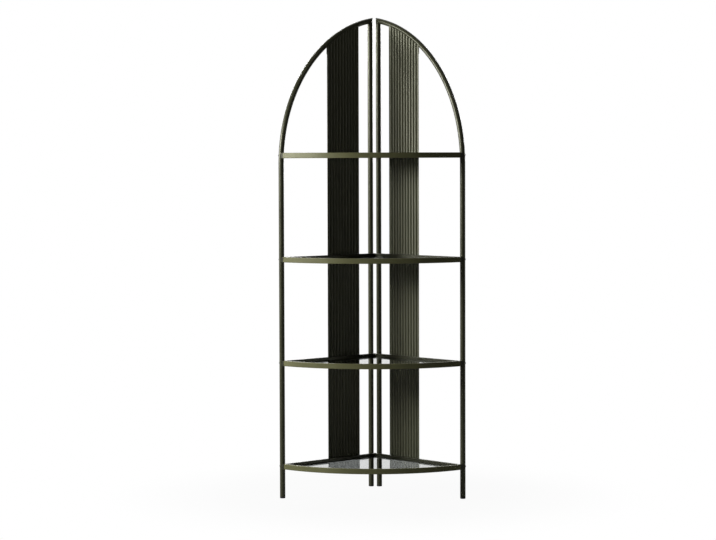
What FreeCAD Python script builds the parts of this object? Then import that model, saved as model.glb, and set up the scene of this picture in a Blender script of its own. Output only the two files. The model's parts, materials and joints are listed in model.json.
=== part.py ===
import FreeCAD, Part
import math
import os
import re
import Sketcher

# A four-tier quarter-round corner etagere: two arched tube side frames at a right angle, a fluted
# sheet-metal panel in each, and four sector-shaped shelf frames that hold inset glass panes.
# Plan: the two side frames would meet on the corner line, at (0, corner_y). A side frame's own
# coordinates are: x along the frame away from the corner line, y towards the inside, z up.
# Left-hand pieces are drawn in those coordinates and set in place; right-hand ones mirror them.

TIERS = ("bottom_shelf", "lower_shelf", "upper_shelf", "top_shelf")

# Driving dimensions, in millimetres and degrees
SIZES = {
    # Side frames
    "overall_height": 1800.0,
    "corner_half_angle": 45.0,
    "post_spacing": 452.0,
    "back_post_setback": 2.3,
    "tube_diameter": 20.0,
    "tube_wall": 1.5,
    "arch_radius": 550.0,
    # Feet
    "foot_height": 6.0,
    "foot_edge_radius": 2.0,
    "foot_stem_length": 14.0,
    "foot_stem_clearance": 0.1,
    # Shelf frames
    "lowest_shelf_height": 110.0,
    "shelf_spacing": 385.0,
    "rim_height": 20.0,
    "rim_thickness": 8.0,
    "rim_edge_radius": 2.0,
    # Glass and what carries it
    "glass_thickness": 5.0,
    "glass_gap": 1.5,
    "glass_corner_radius": 4.0,
    "lug_length": 30.0,
    "lug_reach": 14.0,
    "lug_thickness": 2.0,
    "lug_back_inset": 100.0,
    "lug_front_inset": 90.0,
    "lug_front_angle": 18.0,
    "pad_diameter": 10.0,
    "pad_thickness": 1.0,
    # Bolts and saddle spacers between the posts and the shelf rails
    "bolt_diameter": 5.0,
    "bolt_head_diameter": 9.5,
    "bolt_head_height": 2.8,
    "bolt_head_edge": 1.5,
    "bolt_socket_width": 3.0,
    "bolt_socket_depth": 1.5,
    "bolt_grip": 6.0,
    "bolt_clearance": 0.25,
    "thread_clearance": 0.05,
    "tip_gap": 0.5,
    "saddle_thickness": 2.0,
    "saddle_length": 16.0,
    "saddle_width": 14.0,
    "saddle_depth": 5.0,
    "saddle_clearance": 0.1,
    # Fluted panels
    "panel_offset": 71.0,
    "panel_sheet": 1.2,
    "panel_flange": 6.5,
    "panel_lift": 2.0,
    "panel_arch_gap": 0.3,
    "panel_arch_lap": 6.0,
    "flute_count": 10,
    "flute_pitch": 14.8,
    "flute_depth": 5.0,
    "groove_radius": 1.2,
    # Panel screws and the tabs that hold the panels to the arches
    "screw_diameter": 3.0,
    "screw_head_diameter": 5.5,
    "screw_head_height": 2.0,
    "screw_head_edge": 1.0,
    "screw_grip": 6.0,
    "screw_clearance": 0.15,
    "tab_grip": 1.5,
    "tab_length": 25.0,
    # Overrun of cutting shapes past the faces that they cut
    "cut_margin": 1.0,
}

# Values that follow from the driving dimensions
DERIVED = {
    "tube_radius": "tube_diameter / 2",
    "bore_radius": "tube_radius - tube_wall",
    "rail_outer": "tube_radius + saddle_thickness",
    "rail_inner": "rail_outer + rim_thickness",
    "back_post": "rail_inner / tan(corner_half_angle) + back_post_setback",
    "front_post": "back_post + post_spacing",
    "shelf_radius": "front_post + tube_radius",
    "rim_inner_radius": "shelf_radius - rim_thickness",
    "arch_sweep": "acos((arch_radius - post_spacing) / arch_radius) / 1 deg",
    "apex_height": "overall_height - tube_radius / tan(arch_sweep / 2)",
    "spring_height": "apex_height - arch_radius * sin(arch_sweep)",
    "arch_centre": "front_post - arch_radius",
    "mitre_block": "4 * tube_diameter",
    "bolt_radius": "bolt_diameter / 2",
    "bolt_hole_radius": "bolt_radius + bolt_clearance",
    "thread_radius": "bolt_radius + thread_clearance",
    "screw_radius": "screw_diameter / 2",
    "screw_hole_radius": "screw_radius + screw_clearance",
    "screw_thread_radius": "screw_radius + thread_clearance",
    "head_corner": "bolt_head_diameter / 2 - bolt_head_edge",
    "head_reach": "(tube_radius + bolt_head_height - bolt_head_edge) * sin(corner_half_angle)"
                  " + head_corner * cos(corner_half_angle) + bolt_head_edge",
    "back_reach": "back_post * cos(corner_half_angle) - max(tube_radius; head_reach)",
    "corner_y": "(shelf_radius + back_reach) / 2",
    "panel_start": "back_post + panel_offset",
    "panel_width": "2 * panel_flange + flute_count * flute_pitch",
    "panel_bottom": "lowest_shelf_height + panel_lift",
    "panel_back": "rail_outer - panel_sheet",
    "tab_back": "tube_radius - tab_grip",
    "near_flange": "panel_start + panel_flange / 2",
    "far_flange": "panel_start + panel_width - panel_flange / 2",
    "lug_lift": "rim_edge_radius",
    "glass_lift": "lug_lift + lug_thickness + pad_thickness",
    "glass_inner": "rail_inner + glass_gap",
    "glass_radius": "rim_inner_radius - glass_gap",
    "lug_back": "rail_inner / tan(corner_half_angle) + lug_back_inset",
    "lug_front": "shelf_radius - lug_front_inset",
    "pad_rail_offset": "rail_inner + lug_reach - pad_diameter / 2",
    "pad_rim_radius": "rim_inner_radius - lug_reach + pad_diameter / 2",
}

# Each tier's underside, bolt height, and where its front bolt crosses the post or the arch above it
for number, tier in enumerate(TIERS):
    DERIVED[tier + "_z"] = f"lowest_shelf_height + {number} * shelf_spacing"
    DERIVED[tier + "_bolt_z"] = f"{tier}_z + rim_height / 2"
    DERIVED[tier + "_rise"] = f"max(0; {tier}_bolt_z - spring_height)"
    DERIVED[tier + "_front"] = f"arch_centre + sqrt(arch_radius^2 - {tier}_rise^2)"
    DERIVED[tier + "_tilt"] = f"asin({tier}_rise / arch_radius) / 1 deg"

doc = FreeCAD.newDocument("corner_etagere")
sheet = doc.addObject("Spreadsheet::Sheet", "Sizes")
cells = [(name, str(value)) for name, value in SIZES.items()]
cells += [(name, "=" + formula) for name, formula in DERIVED.items()]
for row, (name, content) in enumerate(cells, start=1):
    sheet.set(f"A{row}", name)
    sheet.set(f"B{row}", content)
    sheet.setAlias(f"B{row}", name)
doc.recompute()

ALIASES = set(SIZES) | set(DERIVED)
AXIS_X = FreeCAD.Vector(1, 0, 0)
AXIS_Y = FreeCAD.Vector(0, 1, 0)
AXIS_Z = FreeCAD.Vector(0, 0, 1)
nodes = {}


def size(name):
    """Return a sheet value as a plain number."""
    value = sheet.get(name)
    return float(getattr(value, "Value", value))


def formula(text):
    """Write a formula of sheet names as an expression that an object can hold."""
    return re.sub(r"[a-z_]+", lambda m: "Sizes." + m[0] if m[0] in ALIASES else m[0], text)


def bind(item, **sizes):
    """Tie properties to formulas of sheet names."""
    for prop, text in sizes.items():
        item.setExpression(prop, formula(text))
    return item


def set_at(item, x="0", y="0", z="0", axis=AXIS_Z, angle="0"):
    """Tie a placement to formulas: a point, and a turn about an axis."""
    item.Placement = FreeCAD.Placement(FreeCAD.Vector(), FreeCAD.Rotation(axis, 1))
    for path, text in (("Base.x", x), ("Base.y", y), ("Base.z", z), ("Rotation.Angle", angle)):
        item.setExpression("Placement." + path, formula(text))
    return item


def cylinder(radius, height, **place):
    """Make a cylinder that stands on its placement's point."""
    return set_at(bind(doc.addObject("Part::Cylinder", "Cylinder"), Radius=radius, Height=height), **place)


def inward_cylinder(radius, length, x, y, z):
    """Make a cylinder whose axis runs from the outside of a side frame towards the inside."""
    return cylinder(radius, length, x=x, y=y, z=z, axis=AXIS_X, angle="270")


def box(length, width, height, **place):
    """Make a box with its lowest corner on its placement's point."""
    item = doc.addObject("Part::Box", "Box")
    return set_at(bind(item, Length=length, Width=width, Height=height), **place)


def compound(items, name="Group"):
    """Gather objects into one without joining them."""
    item = doc.addObject("Part::Compound", name)
    item.Links = items
    return item


def cut(base, *tools):
    """Take tools away from a base."""
    item = doc.addObject("Part::Cut", "Cut")
    item.Base = base
    item.Tool = tools[0] if len(tools) == 1 else compound(list(tools), "Tools")
    return item


def boolean(kind, base, tool):
    """Join or intersect two objects: kind is Fuse or Common."""
    item = doc.addObject("Part::" + kind, kind)
    item.Base = base
    item.Tool = tool
    return item


def rounded(base, radius, wanted):
    """Round the edges of a base that the test picks."""
    doc.recompute()
    item = doc.addObject("Part::Fillet", "Fillet")
    item.Base = base
    value = size(radius)
    item.Edges = [(n, value, value) for n, edge in enumerate(base.Shape.Edges, 1) if wanted(edge)]
    return item


def runs_along(direction):
    """Make a test for straight edges parallel to a direction."""
    def test(edge):
        straight = isinstance(edge.Curve, Part.Line)
        return straight and abs(abs(edge.Curve.Direction.dot(direction)) - 1) < 1e-6
    return test


def is_circle(edge):
    """Test for a round edge."""
    return isinstance(edge.Curve, Part.Circle)


def on_left(item):
    """Set a piece drawn in side-frame coordinates into the left side frame."""
    return set_at(item, y="corner_y", angle="270 - corner_half_angle")


def mirror(item):
    """Make the right-hand copy of a left-hand piece."""
    copy = doc.addObject("Part::Mirroring", "Mirror")
    copy.Source = item
    copy.Normal = AXIS_X
    return copy


def keep(name, item):
    """Name an object as a finished piece."""
    item.Label = name
    nodes[name] = item


def keep_pair(name, item):
    """Keep a left-hand piece and its right-hand copy, the side put into the name."""
    keep(name.format("left"), on_left(item))
    keep(name.format("right"), mirror(item))


def keep_group(name, left_items):
    """Keep one node of like solids: those of the left side and their copies on the right."""
    left = on_left(compound(left_items))
    keep(name, compound([left, mirror(left)]))


def origin_plane(body, role):
    """Find one of a body's own base planes."""
    return next(plane for plane in body.Origin.OriginFeatures if plane.Role == role)


def sketch_on(body, role):
    """Start a sketch on one of a body's own base planes."""
    sketch = body.newObject("Sketcher::SketchObject", "Sketch")
    sketch.AttachmentSupport = [(origin_plane(body, role), "")]
    sketch.MapMode = "FlatFace"
    return sketch


def dimension(sketch, value, kind, *where):
    """Add a driving dimension to a sketch, tied to a formula."""
    number = sketch.addConstraint(Sketcher.Constraint(kind, *where))
    sketch.setExpression(f"Constraints[{number}]", formula(value))


def bolt_points():
    """List where the bolts cross the left frame: tier, place along the frame and height."""
    for tier in TIERS:
        yield tier, "back_post", tier + "_bolt_z", "0"
        yield tier, tier + "_front", tier + "_bolt_z", tier + "_tilt"


def post_holes(column):
    """Make the cutters for the bolt holes through one post, told by its bolts' place."""
    start = "-tube_radius - cut_margin"
    length = "tube_diameter + 2 * cut_margin"
    return [inward_cylinder("bolt_hole_radius", length, x, start, z)
            for tier, x, z, tilt in bolt_points() if (x == "back_post") == (column == "back")]


def mitre_tool(offset):
    """Make the block that cuts a tube on the plane halving the angle between post and arch."""
    return box("mitre_block", "mitre_block", "mitre_block",
               x=f"back_post + mitre_block / 2 * sin(arch_sweep / 2) + {offset} * cos(arch_sweep / 2)",
               y="-mitre_block / 2",
               z=f"apex_height - mitre_block / 2 * cos(arch_sweep / 2) + {offset} * sin(arch_sweep / 2)",
               axis=AXIS_Y, angle="360 - arch_sweep / 2")


def make_back_posts():
    """Straight tubes from the feet to the mitred tips."""
    height = "overall_height - foot_height"
    tube = cut(cylinder("tube_radius", height, x="back_post", z="foot_height"),
               cylinder("bore_radius", height, x="back_post", z="foot_height"))
    keep_pair("{}_back_post", cut(tube, mitre_tool("0"), *post_holes("back")))


def make_front_bows():
    """Front posts, each bent over in one piece into the arch that meets its back post."""
    body = doc.addObject("PartDesign::Body", "Bow")
    path = sketch_on(body, "XZ_Plane")
    base = FreeCAD.Vector(size("front_post"), size("foot_height"))
    spring = FreeCAD.Vector(size("front_post"), size("spring_height"))
    centre = FreeCAD.Vector(size("arch_centre"), size("spring_height"))
    end_angle = "arch_sweep + tube_diameter / arch_radius * 180 / pi"
    end_height = f"spring_height + arch_radius * sin({end_angle})"
    overrun = math.radians(size("arch_sweep")) + size("tube_diameter") / size("arch_radius")
    end_y = centre.y + size("arch_radius") * math.sin(overrun)
    leg = path.addGeometry(Part.LineSegment(base, spring))
    circle = Part.Circle(centre, AXIS_Z, size("arch_radius"))
    arch = path.addGeometry(Part.ArcOfCircle(circle, 0, overrun))
    path.addConstraint(Sketcher.Constraint("Vertical", leg))
    path.addConstraint(Sketcher.Constraint("Tangent", leg, 2, arch, 1))
    dimension(path, "front_post", "DistanceX", -1, 1, leg, 1, base.x)
    dimension(path, "foot_height", "DistanceY", -1, 1, leg, 1, base.y)
    dimension(path, "spring_height", "DistanceY", -1, 1, leg, 2, spring.y)
    dimension(path, "arch_radius", "Radius", arch, size("arch_radius"))
    dimension(path, end_height, "DistanceY", -1, 1, arch, 2, end_y)

    ring = sketch_on(body, "XY_Plane")
    ring.setExpression("AttachmentOffset.Base.z", formula("foot_height"))
    for radius in ("tube_radius", "bore_radius"):
        circle = Part.Circle(FreeCAD.Vector(base.x, 0), AXIS_Z, size(radius))
        edge = ring.addGeometry(circle)
        dimension(ring, radius, "Radius", edge, size(radius))
        dimension(ring, "front_post", "DistanceX", -1, 1, edge, 3, base.x)
        ring.addConstraint(Sketcher.Constraint("PointOnObject", edge, 3, -1))
    doc.recompute()

    tube = body.newObject("PartDesign::AdditivePipe", "Tube")
    tube.Profile = ring
    tube.Spine = (path, ["Edge1", "Edge2"])
    keep_pair("{}_front_bow", cut(body, mitre_tool("-mitre_block"), *post_holes("front")))


def make_feet():
    """Plastic plugs: a stem inside the tube, and a head under it with a rounded lower edge."""
    for end, x in (("front", "front_post"), ("back", "back_post")):
        body = doc.addObject("PartDesign::Body", "Foot")
        half = sketch_on(body, "XZ_Plane")
        head = size("tube_radius")
        stem = size("bore_radius") - size("foot_stem_clearance")
        low = size("foot_height")
        top = low + size("foot_stem_length")
        corners = [(0, 0), (head, 0), (head, low), (stem, low), (stem, top), (0, top)]
        points = [FreeCAD.Vector(*corner) for corner in corners]
        for start, stop in zip(points, points[1:] + points[:1]):
            half.addGeometry(Part.LineSegment(start, stop))
        count = len(points)
        for line in range(count):
            half.addConstraint(Sketcher.Constraint("Coincident", line, 2, (line + 1) % count, 1))
            direction = "Horizontal" if line % 2 == 0 else "Vertical"
            half.addConstraint(Sketcher.Constraint(direction, line))
        half.addConstraint(Sketcher.Constraint("Coincident", 0, 1, -1, 1))
        dimension(half, "tube_radius", "DistanceX", 0, 1, 0, 2, head)
        dimension(half, "foot_height", "DistanceY", 1, 1, 1, 2, low)
        dimension(half, "bore_radius - foot_stem_clearance", "DistanceX", 4, 2, 4, 1, stem)
        dimension(half, "foot_stem_length", "DistanceY", 3, 1, 3, 2, top - low)
        doc.recompute()
        turned = body.newObject("PartDesign::Revolution", "Turned")
        turned.Profile = half
        turned.ReferenceAxis = (half, ["V_Axis"])
        doc.recompute()
        lower = [f"Edge{n}" for n, edge in enumerate(turned.Shape.Edges, 1)
                 if is_circle(edge) and abs(edge.Curve.Center.z) < 1e-6]
        edge = body.newObject("PartDesign::Fillet", "LowerEdge")
        edge.Base = (turned, lower)
        bind(edge, Radius="foot_edge_radius")
        set_at(body, x=x)
        keep_pair("{}_" + end + "_foot", compound([body]))


def make_rails(tier):
    """Straight side bars of one shelf frame, mitred to each other at the back corner."""
    z = tier + "_z"
    start = "rail_outer / tan(corner_half_angle)"
    bar = box(f"shelf_radius - {start}", "rim_thickness", "rim_height", x=start, y="rail_outer", z=z)
    bar = rounded(bar, "rim_edge_radius", runs_along(AXIS_X))
    mitre = "2 * rail_inner / sin(corner_half_angle)"
    tools = [box(mitre, mitre, "rim_height + 2 * cut_margin", z=z + " - cut_margin",
                 angle="corner_half_angle")]
    entry = "rail_outer - cut_margin"
    for post in ("back_post", tier + "_front"):
        depth = "bolt_grip + tip_gap + cut_margin"
        tools.append(inward_cylinder("thread_radius", depth, post, entry, tier + "_bolt_z"))
    for flange in ("near_flange", "far_flange"):
        depth = "screw_grip + tip_gap + cut_margin"
        tools.append(inward_cylinder("screw_thread_radius", depth, flange, entry, tier + "_bolt_z"))
    keep_pair(tier + "_{}_rail", cut(bar, *tools))


def sector(radius, height, inset, z):
    """Make the wedge between two lines that lie a given distance inside the side frames."""
    wedge = cylinder(radius, height, y=f"corner_y - {inset} / sin(corner_half_angle)", z=z,
                     angle="270 - corner_half_angle")
    return bind(wedge, Angle="2 * corner_half_angle")


def make_front_rim(tier):
    """Front bar of one shelf frame: an arc about the corner line, ending on the side bars."""
    z = tier + "_z"
    ring = cut(cylinder("shelf_radius", "rim_height", y="corner_y", z=z),
               cylinder("rim_inner_radius", "rim_height", y="corner_y", z=z))
    ring = rounded(ring, "rim_edge_radius", is_circle)
    wedge = sector("shelf_radius", "rim_height", "rail_inner", z)
    keep(tier + "_front_rim", boolean("Common", ring, wedge))


def make_glass(tier):
    """Glass pane inset in one shelf frame, with the tips of its corners rounded."""
    z = tier + "_z + glass_lift"
    pane = boolean("Common", cylinder("glass_radius", "glass_thickness", y="corner_y", z=z),
                   sector("shelf_radius", "glass_thickness", "glass_inner", z))
    keep(tier + "_glass", rounded(pane, "glass_corner_radius", runs_along(AXIS_Z)))


def turned_out(item, angle):
    """Set a piece drawn along +x from the corner line at an angle from the middle of the front."""
    return set_at(compound([item]), y="corner_y", angle="270 + " + angle)


def make_supports(tier):
    """Lugs welded inside one shelf frame and the soft pads on them that the glass lies on."""
    low = tier + "_z + lug_lift"
    top = low + " + lug_thickness"
    half = "lug_length / 2"
    lugs = []
    pads = []
    for along in ("lug_back", "lug_front"):
        plate = box("lug_length", "lug_reach", "lug_thickness",
                    x=f"{along} - {half}", y="rail_inner", z=low)
        pad = cylinder("pad_diameter / 2", "pad_thickness", x=along, y="pad_rail_offset", z=top)
        for pieces, item in ((lugs, plate), (pads, pad)):
            left = on_left(compound([item]))
            pieces += [left, mirror(left)]
    for angle in ("lug_front_angle", "360 - lug_front_angle"):
        plate = box("lug_reach + rim_thickness", "lug_length", "lug_thickness",
                    x="rim_inner_radius - lug_reach", y="-" + half, z=low)
        plate = boolean("Common", plate, cylinder("rim_inner_radius", "lug_thickness", z=low))
        pad = cylinder("pad_diameter / 2", "pad_thickness", x="pad_rim_radius", z=top)
        lugs.append(turned_out(plate, angle))
        pads.append(turned_out(pad, angle))
    keep(tier + "_glass_lugs", compound(lugs))
    keep(tier + "_glass_pads", compound(pads))


def button_head(diameter, height, edge, x, y, z):
    """Make a low round head whose outer edge is rounded, its flat side towards the inside."""
    head = inward_cylinder(diameter + " / 2", height, x, f"{y} - {height}", z)
    return rounded(head, edge, lambda e: is_circle(e) and e.Curve.Center.y < head.Shape.CenterOfMass.y)


def make_bolts():
    """Socket button-head bolts through the posts into the shelf rails."""
    seat = "-tube_radius"
    bolts = []
    for tier, x, z, tilt in bolt_points():
        head = button_head("bolt_head_diameter", "bolt_head_height", "bolt_head_edge", x, seat, z)
        shank = inward_cylinder("bolt_radius", "tube_radius + rail_outer + bolt_grip", x, seat, z)
        socket = bind(doc.addObject("Part::Prism", "Socket"), Height="bolt_socket_depth + cut_margin",
                      Circumradius="bolt_socket_width / sqrt(3)")
        set_at(socket, x=x, y=seat + " - bolt_head_height - cut_margin", z=z, axis=AXIS_X, angle="270")
        bolts.append(cut(boolean("Fuse", head, shank), socket))
    keep_group("shelf_bolts", bolts)


def make_saddles():
    """Moulded spacers, hollowed to sit on a round post, flat against a shelf rail."""
    saddles = []
    for tier, x, z, tilt in bolt_points():
        block = box("saddle_width", "saddle_depth", "saddle_length", x="-saddle_width / 2",
                    y="rail_outer - saddle_depth", z="-saddle_length / 2")
        hollow = cylinder("tube_radius + saddle_clearance", "saddle_length + 2 * cut_margin",
                          z="-saddle_length / 2 - cut_margin")
        hole = inward_cylinder("bolt_hole_radius", "rail_outer + cut_margin", "0", "0", "0")
        saddles.append(set_at(cut(block, hollow, hole), x=x, z=z, axis=AXIS_Y, angle=f"360 - {tilt}"))
    keep_group("saddle_spacers", saddles)


def flute_profile():
    """Draw the panel's section: wide ribs with narrow grooves between, and a flat flange at each end."""
    pitch = size("flute_pitch")
    depth = size("flute_depth")
    sheet_half = size("panel_sheet") / 2
    flange = size("panel_flange")
    count = int(size("flute_count"))
    crest = size("rail_outer") - sheet_half
    swing = 2 * math.atan(2 * depth / pitch)
    groove_radius = size("groove_radius")
    rib_radius = pitch / 2 / math.sin(swing) - groove_radius
    start = size("panel_start")
    first_crest = start + flange

    def point(centre_x, bow, turn, shift):
        reach = rib_radius + shift if bow > 0 else groove_radius - shift
        middle = crest - rib_radius if bow > 0 else crest - depth + groove_radius
        return FreeCAD.Vector(centre_x + reach * math.sin(turn), middle + bow * reach * math.cos(turn))

    def surface(shift):
        edge = crest + shift
        first = FreeCAD.Vector(first_crest, edge)
        chain = [Part.LineSegment(FreeCAD.Vector(start, edge), first)]
        chain.append(Part.Arc(first, *(point(first_crest, 1, turn, shift) for turn in (swing / 2, swing))))
        for number in range(2 * count - 1):
            centre_x = first_crest + (number + 1) * pitch / 2
            bow = -1 if number % 2 == 0 else 1
            chain.append(Part.Arc(*(point(centre_x, bow, turn, shift) for turn in (-swing, 0, swing))))
        end_x = first_crest + count * pitch
        last = FreeCAD.Vector(end_x, edge)
        chain.append(Part.Arc(*(point(end_x, 1, turn, shift) for turn in (-swing, -swing / 2)), last))
        chain.append(Part.LineSegment(last, FreeCAD.Vector(end_x + flange, edge)))
        return chain

    inner = surface(sheet_half)
    outer = surface(-sheet_half)
    ends = [Part.LineSegment(inner[0].StartPoint, outer[0].StartPoint),
            Part.LineSegment(inner[-1].EndPoint, outer[-1].EndPoint)]
    edges = [curve.toShape() for curve in inner + outer + ends]
    return Part.Face(Part.Wire(Part.__sortEdges__(edges)))


def arch_space(radius):
    """Make the space within a radius of the arch's centre line, from its springing to its tip."""
    space = doc.addObject("Part::Torus", "Arch")
    bind(space, Radius1="arch_radius", Radius2=radius, Angle3="arch_sweep")
    return set_at(space, x="arch_centre", z="spring_height", axis=AXIS_X, angle="90")


def make_panels():
    """Fluted sheets, their tops scribed around the inside of the arch, screwed to every shelf rail."""
    blank = doc.addObject("Part::Feature", "Blank")
    height = size("apex_height") - size("panel_bottom")
    blank.Shape = flute_profile().extrude(FreeCAD.Vector(0, 0, height))
    blank.Placement = FreeCAD.Placement(FreeCAD.Vector(0, 0, size("panel_bottom")), FreeCAD.Rotation())
    reach = "rail_outer + tube_radius"
    outside = box("post_spacing", reach, "apex_height - spring_height", x="back_post", z="spring_height")
    under_arch = inward_cylinder("arch_radius - tube_radius + panel_arch_lap", reach, "arch_centre", "0",
                                 "spring_height")
    tools = [cut(outside, under_arch)]
    for tier in TIERS:
        for flange in ("near_flange", "far_flange"):
            tools.append(inward_cylinder("screw_hole_radius", reach, flange, "0", tier + "_bolt_z"))
    scribed = cut(blank, arch_space("tube_radius + panel_arch_gap"))
    keep_pair("{}_fluted_panel", cut(scribed, *tools))


def make_panel_fixings():
    """Screws from the panels' flanges into the rails, and the tabs from their tops to the arches."""
    screws = []
    for tier in TIERS:
        z = tier + "_bolt_z"
        for x in ("near_flange", "far_flange"):
            head = button_head("screw_head_diameter", "screw_head_height", "screw_head_edge",
                               x, "panel_back", z)
            shank = inward_cylinder("screw_radius", "panel_sheet + screw_grip", x, "panel_back", z)
            screws.append(boolean("Fuse", head, shank))
    keep_group("panel_screws", screws)

    tabs = []
    for x in ("near_flange", "far_flange"):
        arch_z = f"spring_height + sqrt(arch_radius^2 - ({x} - arch_centre)^2)"
        tabs.append(box("panel_flange", "panel_back - tab_back", "tube_radius + tab_length",
                        x=f"{x} - panel_flange / 2", y="tab_back",
                        z=f"{arch_z} - tube_radius - tab_length"))
    keep_group("panel_top_tabs", [cut(tab, arch_space("tube_radius")) for tab in tabs])


def write_parts():
    """Check every object and write each finished piece to its own file."""
    doc.recompute()
    failed = [item.Label for item in doc.Objects if {"Invalid", "Error"} & set(item.State)]
    bad = [name for name, item in nodes.items() if item.Shape.isNull() or not item.Shape.isValid()]
    if failed or bad:
        raise RuntimeError(f"failed objects: {failed}, bad shapes: {bad}")
    os.makedirs("parts", exist_ok=True)
    for name, item in nodes.items():
        item.Shape.exportStep(f"parts/{name}.step")
        print(name, len(item.Shape.Solids), round(item.Shape.Volume, 1))


make_back_posts()
make_front_bows()
make_feet()
for shelf in TIERS:
    make_rails(shelf)
    make_front_rim(shelf)
    make_glass(shelf)
    make_supports(shelf)
make_bolts()
make_saddles()
make_panels()
make_panel_fixings()
write_parts()
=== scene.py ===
import json
import math

import bpy
from mathutils import Matrix, Vector

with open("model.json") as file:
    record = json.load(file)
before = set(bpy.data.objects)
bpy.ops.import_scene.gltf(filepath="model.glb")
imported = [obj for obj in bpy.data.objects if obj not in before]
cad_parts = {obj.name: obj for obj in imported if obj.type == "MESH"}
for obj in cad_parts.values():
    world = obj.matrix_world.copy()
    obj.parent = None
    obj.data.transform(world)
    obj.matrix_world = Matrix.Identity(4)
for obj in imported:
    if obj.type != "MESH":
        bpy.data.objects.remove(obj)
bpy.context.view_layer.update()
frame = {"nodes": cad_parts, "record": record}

nodes = frame["nodes"]
scene = bpy.context.scene

WHITE = (1.0, 1.0, 1.0, 1.0)

# Camera: where it stands in metres and how it is turned, fitted to the photo's edges
IMAGE_WIDTH_PX = 716
FOCAL_PX = 2306.3
SENSOR_MM = 36.0
CAMERA_POINT = Vector((0.2836, -8.6167, 1.267))
CAMERA_HEADING = math.radians(2.254)
CAMERA_DOWN = math.radians(2.793)
CAMERA_ROLL = math.radians(-0.172)
CAMERA_REACH = 100.0

# Noise: the band around its middle that is spread over a range of values or colours
NOISE_BAND = (0.3, 0.7)

# Powder coat: a dark and a light olive for the tubes and panels, the rims and the rails; the rims' paler
# copy is painted light and the rails' deeper copy is painted shade
OLIVE = ((0.045, 0.0465, 0.026), (0.055, 0.0565, 0.0315))
RIM_PAINTED_LIGHT_OLIVE = ((0.121, 0.121, 0.055), (0.148, 0.148, 0.068))
RAIL_PAINTED_SHADE_OLIVE = ((0.017, 0.0175, 0.0095), (0.021, 0.0215, 0.0115))
FRAME_ROUGHNESS = (0.30, 0.36)
RIM_ROUGHNESS = (0.36, 0.44)
PANEL_ROUGHNESS = (0.44, 0.50)
FRAME_GLOSS = 0.5
RIM_GLOSS = 0.45
PANEL_GLOSS = 0.75
GLOSS_TINT = (1.0, 1.0, 0.78, 1.0)
PAINT_PATCHES = {"scale": 9.0, "detail": 3.0}
PAINT_GRAIN = {"scale": 900.0, "detail": 2.0}
PAINT_BUMP = {"strength": 0.1, "distance": 0.0002}

# Smoked glass: its tints, and how much of them the ground edges keep, which paints the edges near black
# as shade
GLASS_TINTS = ((0.355, 0.373, 0.367), (0.379, 0.397, 0.391))
GLASS_EDGE_SHADE_SHARE = 0.025
GLASS_INDEX = 1.5
GLASS_SMEARS = {"scale": 14.0, "detail": 5.0, "stretch": (1.0, 2.5, 1.0)}

# A face counts as flat when the upright part of its normal is larger than this
FLAT_LIMIT = 0.5

# Plastic and rubber: a dark and a light colour for the feet, the spacers and the pads
FOOT_COLOURS = ((0.012, 0.012, 0.012), (0.022, 0.022, 0.021))
SPACER_COLOURS = ((0.02, 0.02, 0.018), (0.03, 0.03, 0.027))
PAD_COLOURS = ((0.22, 0.22, 0.21), (0.28, 0.28, 0.27))
PLASTIC_ROUGHNESS = (0.45, 0.6)
PLASTIC_GRAIN = {"scale": 600.0, "detail": 3.0}
PLASTIC_BUMP = {"strength": 0.3, "distance": 0.0002}

# Blackened steel of the fasteners
STEEL_COLOURS = ((0.05, 0.05, 0.045), (0.09, 0.09, 0.08))
STEEL_ROUGHNESS = (0.3, 0.45)
STEEL_GRAIN = {"scale": 400.0, "detail": 4.0}
STEEL_BUMP = {"strength": 0.2, "distance": 0.0001}

# Stage: the floor's half side and the ring in which its shadow fades out, in metres
FLOOR_HALF = 14.0
FLOOR_CORNERS = ((-1, -1), (1, -1), (1, 1), (-1, 1))
SHADOW_RING = (0.4, 1.1)
FLOOR_WHITE_SHARE = 0.95
FLOOR_GREY = 0.3
WORLD_LIGHT = 0.02

# White background: gloss sees all of it behind the object and little of it on the camera's side.
# It turns white over a range of the ray's direction along y, or on the floor over a range of y in metres.
CLEAR_RAYS = ("Is Camera Ray", "Is Transmission Ray", "Is Singular Ray")
GLOSS_SHARE_FRONT = 0.05
GLOSS_SHARE_BEHIND = 1.0
SKY_TURN = (0.3, 0.7)
FLOOR_TURN = (0.3, 2.0)

# A ray that has met no matt surface has a diffuse depth of zero, below this limit
STRAIGHT_LIMIT = 0.5

# Lamps: name, place and side length in metres, and power in watts
LAMP_TARGET = Vector((0.0, 0.0, 0.9))
LAMPS = (
    ("key", (-3.05, -1.9, 1.9), 0.9, 68.0),
    ("side", (-3.6, -0.6, 1.9), 0.8, 95.0),
    ("fill", (1.4, -2.4, 4.0), 1.6, 5.0),
    ("back_left", (-1.2, 4.3, 2.4), 1.4, 90.0),
    ("back_right", (1.4, 4.2, 2.0), 1.4, 70.0),
)


def make_camera():
    """The camera at the photo's viewing angle."""
    data = bpy.data.cameras.new("camera")
    data.sensor_fit = "HORIZONTAL"
    data.sensor_width = SENSOR_MM
    data.lens = FOCAL_PX / IMAGE_WIDTH_PX * SENSOR_MM
    data.clip_end = CAMERA_REACH
    camera = bpy.data.objects.new("camera", data)
    scene.collection.objects.link(camera)
    turn = Matrix.Rotation(CAMERA_HEADING, 4, "Z")
    tilt = Matrix.Rotation(math.pi / 2 - CAMERA_DOWN, 4, "X")
    roll = Matrix.Rotation(CAMERA_ROLL, 4, "Z")
    camera.matrix_world = Matrix.Translation(CAMERA_POINT) @ turn @ tilt @ roll
    scene.camera = camera


# Node helpers

def add(tree, kind, **inputs):
    """A node with some of its inputs set, by name."""
    node = tree.nodes.new(kind)
    for name, value in inputs.items():
        node.inputs[name].default_value = value
    return node


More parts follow.
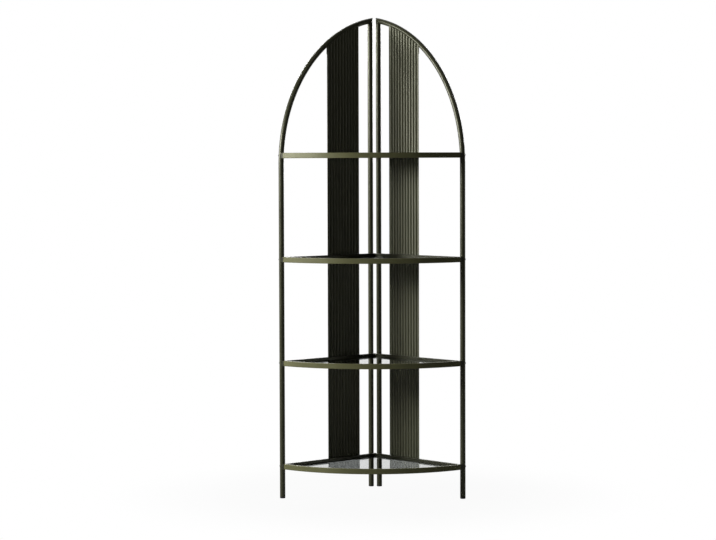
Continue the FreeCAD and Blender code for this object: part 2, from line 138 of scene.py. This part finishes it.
def calculate(tree, operation, first, second):
    """A Math node over two values, each a number or another node's output."""
    node = tree.nodes.new("ShaderNodeMath")
    node.operation = operation
    for socket, value in zip(node.inputs, (first, second)):
        if isinstance(value, float):
            socket.default_value = value
        else:
            tree.links.new(value, socket)
    return node.outputs[0]


def map_range(tree, source, span, low, high, easing="LINEAR"):
    """Go from a low to a high value while the source crosses a span."""
    node = tree.nodes.new("ShaderNodeMapRange")
    node.interpolation_type = easing
    for name, value in zip(("From Min", "From Max", "To Min", "To Max"), (*span, low, high)):
        node.inputs[name].default_value = value
    tree.links.new(source, node.inputs["Value"])
    return node.outputs["Result"]


def colour_ramp(tree, source, colours):
    """Map noise around its middle onto a range from a dark to a light colour."""
    node = tree.nodes.new("ShaderNodeValToRGB")
    for stop, position, colour in zip(node.color_ramp.elements, NOISE_BAND, colours):
        stop.position = position
        stop.color = (*colour, 1.0)
    tree.links.new(source, node.inputs["Fac"])
    return node.outputs["Color"]


def noise(tree, scale, detail, stretch=(1.0, 1.0, 1.0)):
    """Noise over the object's own coordinates, in metres."""
    place = tree.nodes.new("ShaderNodeTexCoord")
    mapping = add(tree, "ShaderNodeMapping", Scale=stretch)
    tree.links.new(place.outputs["Object"], mapping.inputs["Vector"])
    node = add(tree, "ShaderNodeTexNoise", Scale=scale, Detail=detail)
    tree.links.new(mapping.outputs["Vector"], node.inputs["Vector"])
    return node.outputs["Fac"]


def bump(tree, shader, source, strength, distance):
    """Let a shader's surface rise and fall with the source."""
    node = add(tree, "ShaderNodeBump", Strength=strength, Distance=distance)
    tree.links.new(source, node.inputs["Height"])
    tree.links.new(node.outputs["Normal"], shader.inputs["Normal"])


def flat_faces(tree):
    """One on faces that look up or down, nothing on upright ones."""
    geometry = tree.nodes.new("ShaderNodeNewGeometry")
    split = tree.nodes.new("ShaderNodeSeparateXYZ")
    tree.links.new(geometry.outputs["True Normal"], split.inputs["Vector"])
    height = calculate(tree, "ABSOLUTE", split.outputs["Z"], 0.0)
    return calculate(tree, "GREATER_THAN", height, FLAT_LIMIT)


# Materials of the object

def new_material(name):
    """A material with only a Principled shader; gives the material, its node tree and the shader."""
    material = bpy.data.materials.new(name)
    material.use_nodes = True
    tree = material.node_tree
    return material, tree, tree.nodes["Principled BSDF"]


def paint(name, colours, rough, gloss):
    """Powder coat: a slightly uneven colour, satin gloss and a fine grain."""
    material, tree, shader = new_material(name)
    patches = noise(tree, **PAINT_PATCHES)
    grain = noise(tree, **PAINT_GRAIN)
    tree.links.new(colour_ramp(tree, patches, colours), shader.inputs["Base Color"])
    tree.links.new(map_range(tree, patches, NOISE_BAND, *rough), shader.inputs["Roughness"])
    shader.inputs["Specular IOR Level"].default_value = gloss
    shader.inputs["Specular Tint"].default_value = GLOSS_TINT
    bump(tree, shader, grain, **PAINT_BUMP)
    return material


def smoked_glass():
    """Grey glass, a little uneven in its tint, with ground edges painted near black and opaque, as
    painted shade.
    """
    material, tree, shader = new_material("smoked_glass")
    smears = noise(tree, **GLASS_SMEARS)
    flat = flat_faces(tree)
    shade = tree.nodes.new("ShaderNodeVectorMath")
    shade.operation = "SCALE"
    tree.links.new(colour_ramp(tree, smears, GLASS_TINTS), shade.inputs["Vector"])
    # The edge faces keep only a sliver of the tint: painted shade that hides the light the edges would
    # carry.
    tree.links.new(calculate(tree, "MAXIMUM", flat, GLASS_EDGE_SHADE_SHARE), shade.inputs["Scale"])
    tree.links.new(shade.outputs["Vector"], shader.inputs["Base Color"])
    shader.inputs["Transmission Weight"].default_value = 1.0
    tree.links.new(flat, shader.inputs["Transmission Weight"])
    shader.inputs["Roughness"].default_value = 0.0
    shader.inputs["IOR"].default_value = GLASS_INDEX
    return material


def plastic(name, colours):
    """Moulded plastic or rubber with a fine texture."""
    material, tree, shader = new_material(name)
    grain = noise(tree, **PLASTIC_GRAIN)
    tree.links.new(colour_ramp(tree, grain, colours), shader.inputs["Base Color"])
    tree.links.new(map_range(tree, grain, NOISE_BAND, *PLASTIC_ROUGHNESS), shader.inputs["Roughness"])
    bump(tree, shader, grain, **PLASTIC_BUMP)
    return material


def dark_steel():
    """Blackened steel with a fine grain."""
    material, tree, shader = new_material("dark_steel")
    grain = noise(tree, **STEEL_GRAIN)
    tree.links.new(colour_ramp(tree, grain, STEEL_COLOURS), shader.inputs["Base Color"])
    tree.links.new(map_range(tree, grain, NOISE_BAND, *STEEL_ROUGHNESS), shader.inputs["Roughness"])
    shader.inputs["Metallic"].default_value = 1.0
    bump(tree, shader, grain, **STEEL_BUMP)
    return material


def dress_nodes():
    """Give each CAD node the material of its slot, with the rims' paler olive as painted light, and the
    shelf rails a darker paint as painted shade.
    """
    looks = {
        "frame_paint": paint("frame_paint", OLIVE, FRAME_ROUGHNESS, FRAME_GLOSS),
        # The rims' paler olive is painted light: a lighter copy of the tubes' olive.
        "shelf_paint": paint("shelf_paint", RIM_PAINTED_LIGHT_OLIVE, RIM_ROUGHNESS, RIM_GLOSS),
        "panel_paint": paint("panel_paint", OLIVE, PANEL_ROUGHNESS, PANEL_GLOSS),
        "smoked_glass": smoked_glass(),
        "foot_plastic": plastic("black_plastic", FOOT_COLOURS),
        "spacer_plastic": plastic("spacer_plastic", SPACER_COLOURS),
        "pad_rubber": plastic("pad_rubber", PAD_COLOURS),
        "fastener_steel": dark_steel(),
    }
    # The rails' deep olive is painted shade: a darker copy of the tubes' olive.
    rail_painted_shade = paint("rail_painted_shade", RAIL_PAINTED_SHADE_OLIVE, FRAME_ROUGHNESS, FRAME_GLOSS)
    for part in frame["record"]["subparts"]:
        look = looks[part["material_slot"]]
        if part["node"].endswith("_rail"):
            look = rail_painted_shade
        mesh = nodes[part["node"]].data
        mesh.materials.clear()
        mesh.materials.append(look)


# Floor, background and lamps

def background_rays(tree, coordinates, span):
    """How white a ray sees the background: fully when seen straight or in glass, never as light."""
    place = tree.nodes.new("ShaderNodeTexCoord")
    split = tree.nodes.new("ShaderNodeSeparateXYZ")
    tree.links.new(place.outputs[coordinates], split.inputs["Vector"])
    share = map_range(tree, split.outputs["Y"], span, GLOSS_SHARE_FRONT, GLOSS_SHARE_BEHIND, "SMOOTHSTEP")
    path = tree.nodes.new("ShaderNodeLightPath")
    white = calculate(tree, "MULTIPLY", path.outputs["Is Glossy Ray"], share)
    for ray in CLEAR_RAYS:
        white = calculate(tree, "MAXIMUM", path.outputs[ray], white)
    straight = calculate(tree, "LESS_THAN", path.outputs["Diffuse Depth"], STRAIGHT_LIMIT)
    return calculate(tree, "MULTIPLY", white, straight)


def floor_material():
    """White to the camera, with a share of matt grey near the object that takes its shadow."""
    material = bpy.data.materials.new("white_floor")
    material.use_nodes = True
    tree = material.node_tree
    tree.nodes.clear()
    place = tree.nodes.new("ShaderNodeTexCoord")
    distance = tree.nodes.new("ShaderNodeVectorMath")
    distance.operation = "LENGTH"
    tree.links.new(place.outputs["Object"], distance.inputs[0])
    share = map_range(tree, distance.outputs["Value"], SHADOW_RING, FLOOR_WHITE_SHARE, 1.0, "SMOOTHSTEP")
    amount = calculate(tree, "MULTIPLY", background_rays(tree, "Object", FLOOR_TURN), share)
    matt = add(tree, "ShaderNodeBsdfDiffuse", Color=(FLOOR_GREY, FLOOR_GREY, FLOOR_GREY, 1.0))
    plain = add(tree, "ShaderNodeEmission", Color=WHITE, Strength=1.0)
    mix = tree.nodes.new("ShaderNodeMixShader")
    tree.links.new(amount, mix.inputs["Fac"])
    tree.links.new(matt.outputs[0], mix.inputs[1])
    tree.links.new(plain.outputs[0], mix.inputs[2])
    output = tree.nodes.new("ShaderNodeOutputMaterial")
    tree.links.new(mix.outputs[0], output.inputs["Surface"])
    return material


def make_floor():
    """A square floor, which isn't part of the object."""
    mesh = bpy.data.meshes.new("floor")
    mesh.from_pydata([(x * FLOOR_HALF, y * FLOOR_HALF, 0) for x, y in FLOOR_CORNERS], [], [(0, 1, 2, 3)])
    mesh.materials.append(floor_material())
    floor = bpy.data.objects.new("floor", mesh)
    scene.collection.objects.link(floor)


def make_world():
    """Dim even light, but white where the camera sees it or the glass and gloss show it."""
    world = bpy.data.worlds.new("world")
    scene.world = world
    world.use_nodes = True
    tree = world.node_tree
    background = tree.nodes["Background"]
    level = map_range(tree, background_rays(tree, "Generated", SKY_TURN), (0.0, 1.0), WORLD_LIGHT, 1.0)
    tree.links.new(level, background.inputs["Strength"])
    background.inputs["Color"].default_value = WHITE


def make_lamp(name, point, side, power):
    """A square lamp that faces the middle of the object."""
    data = bpy.data.lights.new(name, "AREA")
    data.shape = "SQUARE"
    data.size = side
    data.energy = power
    lamp = bpy.data.objects.new(name, data)
    lamp.location = point
    lamp.rotation_mode = "QUATERNION"
    lamp.rotation_quaternion = (LAMP_TARGET - Vector(point)).to_track_quat("-Z", "Y")
    scene.collection.objects.link(lamp)


make_camera()
dress_nodes()
make_floor()
make_world()
for lamp_values in LAMPS:
    make_lamp(*lamp_values)

scene.view_settings.view_transform = "Standard"
